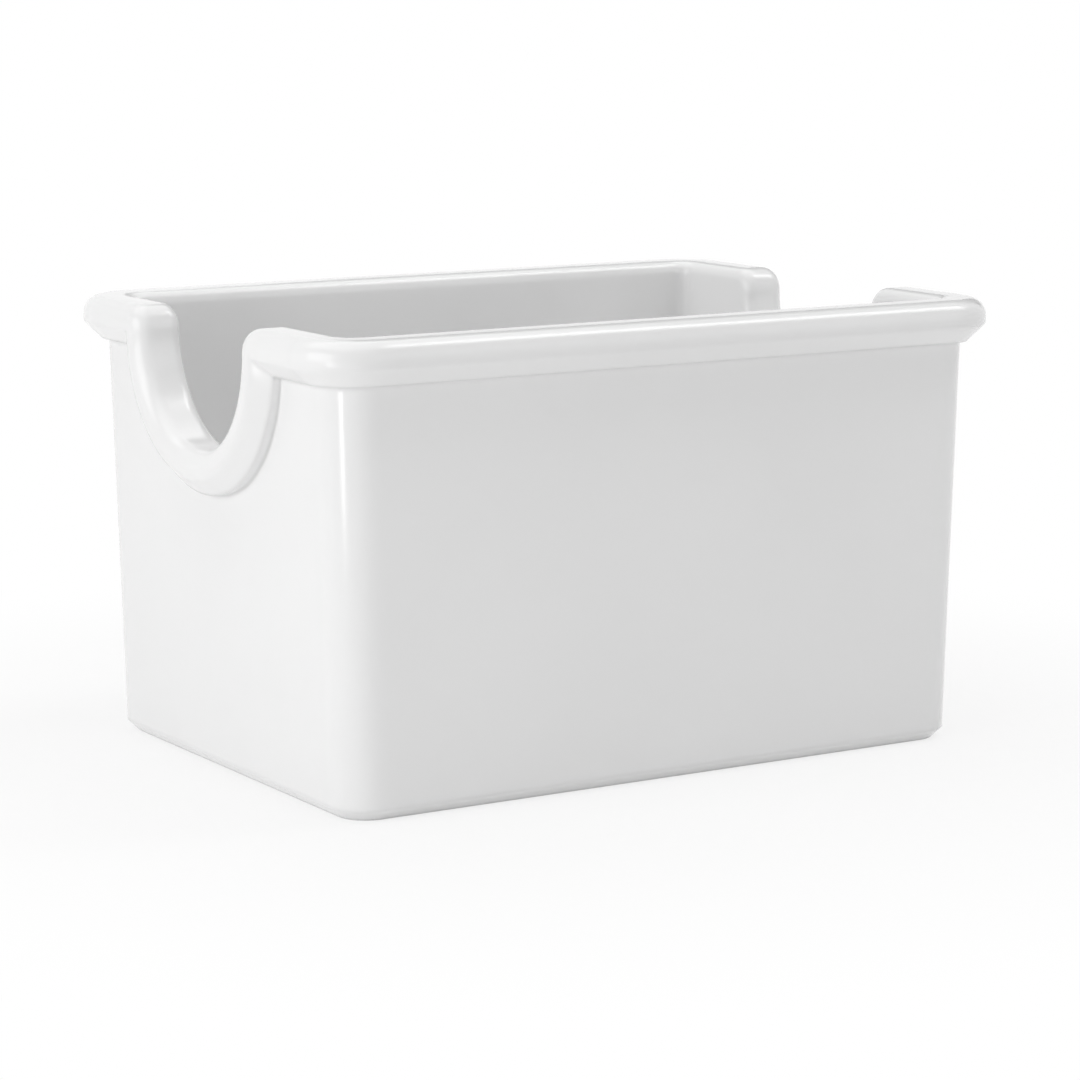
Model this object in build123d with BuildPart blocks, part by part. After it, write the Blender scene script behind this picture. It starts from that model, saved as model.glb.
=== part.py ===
from build123d import *
import os
from math import hypot, radians, tan

os.makedirs("parts", exist_ok=True)

# Sugar caddy: an open tub moulded in one piece, with a rolled rim and a finger notch in each end.
# Millimetres, +Z up. The origin is the middle of the face it stands on and X runs along its length.

# Overall size, taken across the rolled rim.
length = 88.0
width = 63.5
height = 50.8

# Walls and floor. Both pairs of walls lean inward to the base, the ends more than the long sides.
# An upright corner of the cavity is a little wider than the rounding that runs along its floor.
wall = 2.9
floor_thickness = 2.9
end_draft = 1.55
side_draft = 0.5
floor_round = 1.4
corner_spare = 0.2
cavity_corner = floor_round + corner_spare
wall_corner = cavity_corner + wall
base_edge = 1.2

# Rolled rim: a rounded top, an upright face and a slanted flank that ends in a narrow ledge at the wall.
bead_radius = 2.0
bead_face = 0.88
bead_flank = 2.0
bead_height = bead_radius + bead_face + bead_flank
bead_ledge = 0.8
bead_overhang = bead_flank + bead_ledge
flank_round = 0.6
rim_corner = wall_corner + bead_overhang
inner_round = 1.4

# Finger notch: a half circle between two rounded shoulders, with the bead carried round it.
# A shoulder is wider than the roundings of the rim that run over it.
notch_radius = 12.0
shoulder_spare = 0.6
notch_shoulder = max(bead_radius, inner_round) + shoulder_spare
surround_radius = notch_radius + bead_height

# Underside: a shallow recess leaves a ring to stand on, with the moulding gate's dimple in its middle.
foot_width = 4.0
recess_depth = 0.8
gate_radius = 3.0
gate_depth = 0.5

bead_bottom = height - bead_height
bead_middle = height - bead_height / 2
notch_middle = height - notch_shoulder
shoulder_middle = notch_radius + notch_shoulder
wall_length = length - 2 * bead_overhang
wall_width = width - 2 * bead_overhang
base_length = wall_length - 2 * bead_middle * tan(radians(end_draft))
base_width = wall_width - 2 * bead_middle * tan(radians(side_draft))
tolerance = 0.001


def upright_edges(part):
    return part.edges().filter_by(lambda edge: abs(edge.tangent_at(0.5).Z) > 0.5)


def lean_walls(part):
    # The walls keep their stated size at the middle of the bead.
    level = Plane.XY.offset(bead_middle)
    draft(part.faces().filter_by(Axis.X), level, -end_draft)
    draft(part.faces().filter_by(Axis.Y), level, -side_draft)


def inside_rim(edge):
    # How far the middle of an edge lies inside the rim's outline, seen from above.
    middle = edge @ 0.5
    along = abs(middle.X) - (length / 2 - rim_corner)
    across = abs(middle.Y) - (width / 2 - rim_corner)
    return rim_corner - hypot(max(along, 0), max(across, 0)) - min(max(along, across), 0)


def from_notch(edge):
    # How far the middle of an edge lies from the notch's axis.
    middle = edge @ 0.5
    return hypot(middle.Y, middle.Z - notch_middle)


def is_level_with(edge, z):
    return abs((edge @ 0.5).Z - z) < tolerance


def is_round_notch(edge, radius):
    return abs(from_notch(edge) - radius) < tolerance


def rim_edges(part):
    return part.edges().filter_by(lambda edge: edge.bounding_box().min.Z > height / 2)


def outer_edges(part):
    return rim_edges(part).filter_by(lambda edge: abs(inside_rim(edge)) < tolerance)


with BuildPart() as cavity:
    with BuildSketch(Plane.XY.offset(floor_thickness)):
        Rectangle(wall_length - 2 * wall, wall_width - 2 * wall)
    extrude(amount=height - floor_thickness)
    lean_walls(cavity)
    fillet(upright_edges(cavity), cavity_corner)
    fillet(cavity.faces().sort_by(Axis.Z)[0].edges(), floor_round)

with BuildPart() as caddy_body:
    # Tapered block of the tub
    with BuildSketch(Plane.XY):
        Rectangle(wall_length, wall_width)
    extrude(amount=height)
    lean_walls(caddy_body)
    fillet(upright_edges(caddy_body), wall_corner)
    chamfer(caddy_body.faces().sort_by(Axis.Z)[0].edges(), base_edge)

    # Collar that becomes the rim
    with BuildSketch(Plane.XY.offset(bead_bottom)):
        RectangleRounded(length, width, rim_corner)
    extrude(amount=bead_height)

    # Surround that carries the bead round each notch
    with BuildSketch(Plane.YZ):
        with Locations((0, notch_middle)):
            Circle(surround_radius)
        with Locations((0, height)):
            Rectangle(width, width, align=(Align.CENTER, Align.MIN), mode=Mode.SUBTRACT)
    extrude(amount=length / 2, both=True)

    # Hollow for the packets
    add(cavity.part, mode=Mode.SUBTRACT)

    # Notch through both ends
    with BuildSketch(Plane.YZ):
        with BuildLine():
            CenterArc((0, notch_middle), notch_radius, 180, 180)
            CenterArc((shoulder_middle, notch_middle), notch_shoulder, 90, 90)
            CenterArc((-shoulder_middle, notch_middle), notch_shoulder, 0, 90)
            Polyline(
                (-shoulder_middle, height),
                (-shoulder_middle, height + bead_height),
                (shoulder_middle, height + bead_height),
                (shoulder_middle, height),
            )
        make_face()
    extrude(amount=length, both=True, mode=Mode.SUBTRACT)

    # Inside edge of the rim and the notches
    inner_edges = rim_edges(caddy_body).filter_by(lambda edge: inside_rim(edge) > bead_overhang + wall / 2)
    fillet(inner_edges, inner_round)

    # Rounded top of the bead
    upper_edges = outer_edges(caddy_body).filter_by(
        lambda edge: is_level_with(edge, height) or from_notch(edge) < notch_radius + bead_radius
    )
    fillet(upper_edges, bead_radius)

    # Slanted flank of the bead, softened where it leaves the upright face
    lower_edges = outer_edges(caddy_body).filter_by(
        lambda edge: is_level_with(edge, bead_bottom) or is_round_notch(edge, surround_radius)
    )
    chamfer(lower_edges, bead_flank)
    flank_edges = outer_edges(caddy_body).filter_by(
        lambda edge: is_level_with(edge, bead_bottom + bead_flank)
        or is_round_notch(edge, surround_radius - bead_flank)
    )
    fillet(flank_edges, flank_round)

    # Recessed underside
    with BuildSketch(Plane.XY):
        RectangleRounded(base_length - 2 * foot_width, base_width - 2 * foot_width, wall_corner)
    extrude(amount=recess_depth, mode=Mode.SUBTRACT)

    # Dimple of the moulding gate
    with BuildSketch(Plane.XY.offset(recess_depth)):
        Circle(gate_radius)
    extrude(amount=gate_depth, mode=Mode.SUBTRACT)

caddy_body.part.label = "caddy_body"
export_step(caddy_body.part, "parts/caddy_body.step")
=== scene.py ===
from math import cos, pi, radians, sin

import bpy
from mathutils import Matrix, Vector

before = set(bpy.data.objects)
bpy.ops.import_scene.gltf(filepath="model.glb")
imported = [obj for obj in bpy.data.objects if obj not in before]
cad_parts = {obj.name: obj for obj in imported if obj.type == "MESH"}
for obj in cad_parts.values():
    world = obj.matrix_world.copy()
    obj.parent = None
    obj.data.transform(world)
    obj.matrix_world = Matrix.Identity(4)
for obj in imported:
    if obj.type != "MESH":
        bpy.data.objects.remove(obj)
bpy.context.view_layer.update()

MM = 0.001

# The photograph's camera, found from the caddy's edges in it. Its lens and sensor are in millimetres.
AZIMUTH = radians(-31.594)
ELEVATION = radians(9.7)
DISTANCE = 409.7 * MM
AIM_HEIGHT = 22.523 * MM
AIM_RIGHT = 0.8 * MM
LENS = 118.55
SENSOR = 36.0
NEAREST_SEEN = 10 * MM

# Moulded skin of the caddy: flow marks that cloud its gloss, a faint ripple and softened edges.
MELAMINE_TONES = ("#EDEDED", "#F1F1F1")
MELAMINE_IOR = 1.55
MELAMINE_ROUGHNESS = (0.13, 0.19)
CLOUD_SIZE = 18 * MM
CLOUD_DETAIL = 2.0
RIPPLE_SIZE = 3 * MM
RIPPLE_DETAIL = 1.0
RIPPLE_DEPTH = 0.006 * MM
SOFT_EDGE = 1.0 * MM
EDGE_SAMPLES = 8

# Plain white, and how bright it shows behind the caddy.
WHITE = "#FFFFFF"
WHITE_GLOW = 1.0

# The grain of the cards is drawn coarser than a real card's, which would be too fine to show.
CARD_GRAIN = 2 * MM

# Floor of white card: a faint shadow shows near the caddy and fades into plain white further out.
# It lies a hair below the caddy's foot, so that the two faces do not show through each other.
FLOOR_TONES = ("#F3F3F3", "#F6F6F6")
FLOOR_SIZE = 3000 * MM
FLOOR_GAP = 0.05 * MM
FADE_START = 50 * MM
FADE_END = 115 * MM
NEAR_WHITE = 0.75

# Grey card that stands behind the caddy: the darker band between two bright lines on top of the rim.
GREY_TONES = ("#585858", "#5E5E5E")
GREY_PLACE = Vector((364, 305, 305)) * MM
GREY_SIZE = (400 * MM, 350 * MM)

# Light from all round, and soft boxes turned to the caddy. A glow of 1 is as bright as plain white.
DOME_GLOW = 0.38
SUBJECT = Vector((0, 0, 25)) * MM

# Overhead box: the bright line along both long rims.
OVERHEAD_PLACE = Vector((530, -150, 740)) * MM
OVERHEAD_SIZE = (220 * MM, 360 * MM)
OVERHEAD_GLOW = 4.6

# Ceiling panel: the pale top of the rim and the inside of the tub.
CEILING_PLACE = Vector((0, 150, 1100)) * MM
CEILING_SIZE = (1400 * MM, 1400 * MM)
CEILING_GLOW = 1.0

# Left box: the notched end as the brightest side.
LEFT_PLACE = Vector((-900, -60, 320)) * MM
LEFT_SIZE = (800 * MM, 600 * MM)
LEFT_GLOW = 2.0

# Front fill: the near rim a little brighter than the long wall under it.
FILL_PLACE = Vector((400, -800, 300)) * MM
FILL_SIZE = (700 * MM, 500 * MM)
FILL_GLOW = 0.6

# Low box: the bright line down the front corner.
LOW_PLACE = Vector((-176, -88, 20)) * MM
LOW_SIZE = (28 * MM, 40 * MM)
LOW_GLOW = 5.5

# Sockets of a colour Mix node, which share their names with its other kinds.
MIX_FACTOR = 0
MIX_A = 6
MIX_B = 7
MIX_COLOUR = 2


def linear(hex_colour):
    # An sRGB hex colour as linear red, green, blue and alpha.
    channels = [int(hex_colour[i:i + 2], 16) / 255 for i in (1, 3, 5)]
    return [c / 12.92 if c <= 0.04045 else ((c + 0.055) / 1.055) ** 2.4 for c in channels] + [1.0]


def add_node(tree, kind, settings=None, inputs=None, links=None):
    # A node with its settings and constant inputs, linked from other nodes' outputs.
    node = tree.nodes.new(kind)
    for name, value in (settings or {}).items():
        setattr(node, name, value)
    for socket, value in (inputs or {}).items():
        node.inputs[socket].default_value = value
    for socket, output in (links or {}).items():
        tree.links.new(output, node.inputs[socket])
    return node


def empty_material(name):
    material = bpy.data.materials.new(name)
    material.use_nodes = True
    material.node_tree.nodes.clear()
    return material


def seen_directly(tree):
    # 1 for rays from the camera and for what gloss and glass show, 0 for light that falls on a surface.
    path = add_node(tree, "ShaderNodeLightPath").outputs
    shown = add_node(
        tree,
        "ShaderNodeMath",
        {"operation": "MAXIMUM"},
        links={0: path["Is Glossy Ray"], 1: path["Is Transmission Ray"]},
    )
    seen = add_node(
        tree,
        "ShaderNodeMath",
        {"operation": "MAXIMUM"},
        links={0: path["Is Camera Ray"], 1: shown.outputs["Value"]},
    )
    return seen.outputs["Value"]


def moulded_melamine():
    # Melamine pressed in a polished mould: hard, even white with clear highlights. The gloss clouds a
    # little where the melt flowed, highlights waver on a skin not quite flat, and edges look soft.
    material = empty_material("moulded white melamine")
    tree = material.node_tree
    place = add_node(tree, "ShaderNodeTexCoord").outputs["Object"]
    cloud = add_node(
        tree,
        "ShaderNodeTexNoise",
        inputs={"Scale": 1 / CLOUD_SIZE, "Detail": CLOUD_DETAIL},
        links={"Vector": place},
    )
    dark, light = MELAMINE_TONES
    white = add_node(
        tree,
        "ShaderNodeMix",
        {"data_type": "RGBA"},
        {MIX_A: linear(dark), MIX_B: linear(light)},
        {MIX_FACTOR: cloud.outputs["Fac"]},
    )
    glossy, dull = MELAMINE_ROUGHNESS
    gloss = add_node(
        tree,
        "ShaderNodeMapRange",
        inputs={"To Min": glossy, "To Max": dull},
        links={"Value": cloud.outputs["Fac"]},
    )
    ripple = add_node(
        tree,
        "ShaderNodeTexNoise",
        inputs={"Scale": 1 / RIPPLE_SIZE, "Detail": RIPPLE_DETAIL},
        links={"Vector": place},
    )
    edges = add_node(tree, "ShaderNodeBevel", {"samples": EDGE_SAMPLES}, {"Radius": SOFT_EDGE})
    skin = add_node(
        tree,
        "ShaderNodeBump",
        inputs={"Distance": RIPPLE_DEPTH},
        links={"Height": ripple.outputs["Fac"], "Normal": edges.outputs["Normal"]},
    )
    shader = add_node(
        tree,
        "ShaderNodeBsdfPrincipled",
        inputs={"IOR": MELAMINE_IOR},
        links={
            "Base Color": white.outputs[MIX_COLOUR],
            "Roughness": gloss.outputs["Result"],
            "Normal": skin.outputs["Normal"],
        },
    )
    add_node(tree, "ShaderNodeOutputMaterial", links={"Surface": shader.outputs["BSDF"]})
    return material


def matt_card(tree, place, tones):
    # Pressed paper fibres: no shine, and a faint grain between two tones.
    grain = add_node(
        tree,
        "ShaderNodeTexNoise",
        inputs={"Scale": 1 / CARD_GRAIN},
        links={"Vector": place},
    )
    dark, light = tones
    tone = add_node(
        tree,
        "ShaderNodeMix",
        {"data_type": "RGBA"},
        {MIX_A: linear(dark), MIX_B: linear(light)},
        {MIX_FACTOR: grain.outputs["Fac"]},
    )
    card = add_node(tree, "ShaderNodeBsdfDiffuse", links={"Color": tone.outputs[MIX_COLOUR]})
    return card.outputs["BSDF"]


def matt_white_card():
    # It takes a soft shadow near the caddy and is plain white beyond.
    material = empty_material("matt white card")
    tree = material.node_tree
    place = add_node(tree, "ShaderNodeTexCoord").outputs["Object"]
    card = matt_card(tree, place, FLOOR_TONES)
    white = add_node(
        tree,
        "ShaderNodeEmission",
        inputs={"Color": linear(WHITE), "Strength": WHITE_GLOW},
    )
    reach = add_node(tree, "ShaderNodeVectorMath", {"operation": "LENGTH"}, links={0: place})
    fade = add_node(
        tree,
        "ShaderNodeMapRange",
        {"interpolation_type": "SMOOTHSTEP"},
        {"From Min": FADE_START, "From Max": FADE_END, "To Min": NEAR_WHITE},
        {"Value": reach.outputs["Value"]},
    )
    share = add_node(
        tree,
        "ShaderNodeMath",
        {"operation": "MULTIPLY"},
        links={0: seen_directly(tree), 1: fade.outputs["Result"]},
    )
    mix = add_node(
        tree,
        "ShaderNodeMixShader",
        links={0: share.outputs["Value"], 1: card, 2: white.outputs["Emission"]},
    )
    add_node(tree, "ShaderNodeOutputMaterial", links={"Surface": mix.outputs["Shader"]})
    return material


def matt_grey_card():
    # It shows as a soft dark grey in the gloss of the caddy.
    material = empty_material("matt grey card")
    tree = material.node_tree
    place = add_node(tree, "ShaderNodeTexCoord").outputs["Object"]
    card = matt_card(tree, place, GREY_TONES)
    add_node(tree, "ShaderNodeOutputMaterial", links={"Surface": card})
    return material


def lay_floor():
    bpy.ops.object.select_all(action="DESELECT")
    bpy.ops.mesh.primitive_plane_add(size=FLOOR_SIZE, location=(0, 0, -FLOOR_GAP))
    floor = bpy.context.object
    floor.name = "floor"
    floor.data.materials.append(matt_white_card())


def stand_grey_card():
    # It stands square to the camera. The gloss of the caddy shows it, but it stays out of the picture
    # itself and takes no light away.
    bpy.ops.object.select_all(action="DESELECT")
    bpy.ops.mesh.primitive_plane_add(size=1, location=GREY_PLACE, rotation=(pi / 2, 0, AZIMUTH))
    card = bpy.context.object
    card.name = "grey card"
    card.scale = (*GREY_SIZE, 1)
    bpy.ops.object.transform_apply(location=False, rotation=False, scale=True)
    card.visible_camera = False
    card.visible_diffuse = False
    card.visible_shadow = False
    card.data.materials.append(matt_grey_card())


def light_dome():
    # Even light from all round, and plain white behind the caddy and in its gloss.
    world = bpy.data.worlds.new("studio")
    bpy.context.scene.world = world
    world.use_nodes = True
    tree = world.node_tree
    tree.nodes.clear()
    white = linear(WHITE)
    light = add_node(tree, "ShaderNodeBackground", inputs={"Color": white, "Strength": DOME_GLOW})
    backdrop = add_node(tree, "ShaderNodeBackground", inputs={"Color": white, "Strength": WHITE_GLOW})
    mix = add_node(
        tree,
        "ShaderNodeMixShader",
        links={
            0: seen_directly(tree),
            1: light.outputs["Background"],
            2: backdrop.outputs["Background"],
        },
    )
    add_node(tree, "ShaderNodeOutputWorld", links={"Surface": mix.outputs["Shader"]})


def soft_box(name, place, size, glow):
    # It lights the caddy and shows in its gloss, but stays out of the picture itself. Its energy is in
    # watts, which give a face of this size that glow.
    width, height = size
    data = bpy.data.lights.new(name, "AREA")
    data.shape = "RECTANGLE"
    data.size = width
    data.size_y = height
    data.energy = glow * pi * width * height
    light = bpy.data.objects.new(name, data)
    light.visible_camera = False
    light.location = place
    light.rotation_euler = (SUBJECT - place).to_track_quat("-Z", "Y").to_euler()
    bpy.context.collection.objects.link(light)


def set_camera():
    away = Vector((sin(AZIMUTH) * cos(ELEVATION), -cos(AZIMUTH) * cos(ELEVATION), sin(ELEVATION)))
    right = Vector((cos(AZIMUTH), sin(AZIMUTH), 0))
    middle = Vector((0, 0, AIM_HEIGHT))
    data = bpy.data.cameras.new("camera")
    data.lens = LENS
    data.sensor_width = SENSOR
    data.clip_start = NEAREST_SEEN
    camera = bpy.data.objects.new("camera", data)
    camera.location = middle + away * DISTANCE
    aim = middle + right * AIM_RIGHT
    camera.rotation_euler = (aim - camera.location).to_track_quat("-Z", "Y").to_euler()
    bpy.context.collection.objects.link(camera)
    bpy.context.scene.camera = camera


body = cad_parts["caddy_body"]
body.data.materials.clear()
body.data.materials.append(moulded_melamine())

lay_floor()
stand_grey_card()
light_dome()
soft_box("overhead box", OVERHEAD_PLACE, OVERHEAD_SIZE, OVERHEAD_GLOW)
soft_box("ceiling panel", CEILING_PLACE, CEILING_SIZE, CEILING_GLOW)
soft_box("left box", LEFT_PLACE, LEFT_SIZE, LEFT_GLOW)
soft_box("front fill", FILL_PLACE, FILL_SIZE, FILL_GLOW)
soft_box("low box", LOW_PLACE, LOW_SIZE, LOW_GLOW)
set_camera()
bpy.context.scene.view_settings.view_transform = "Standard"
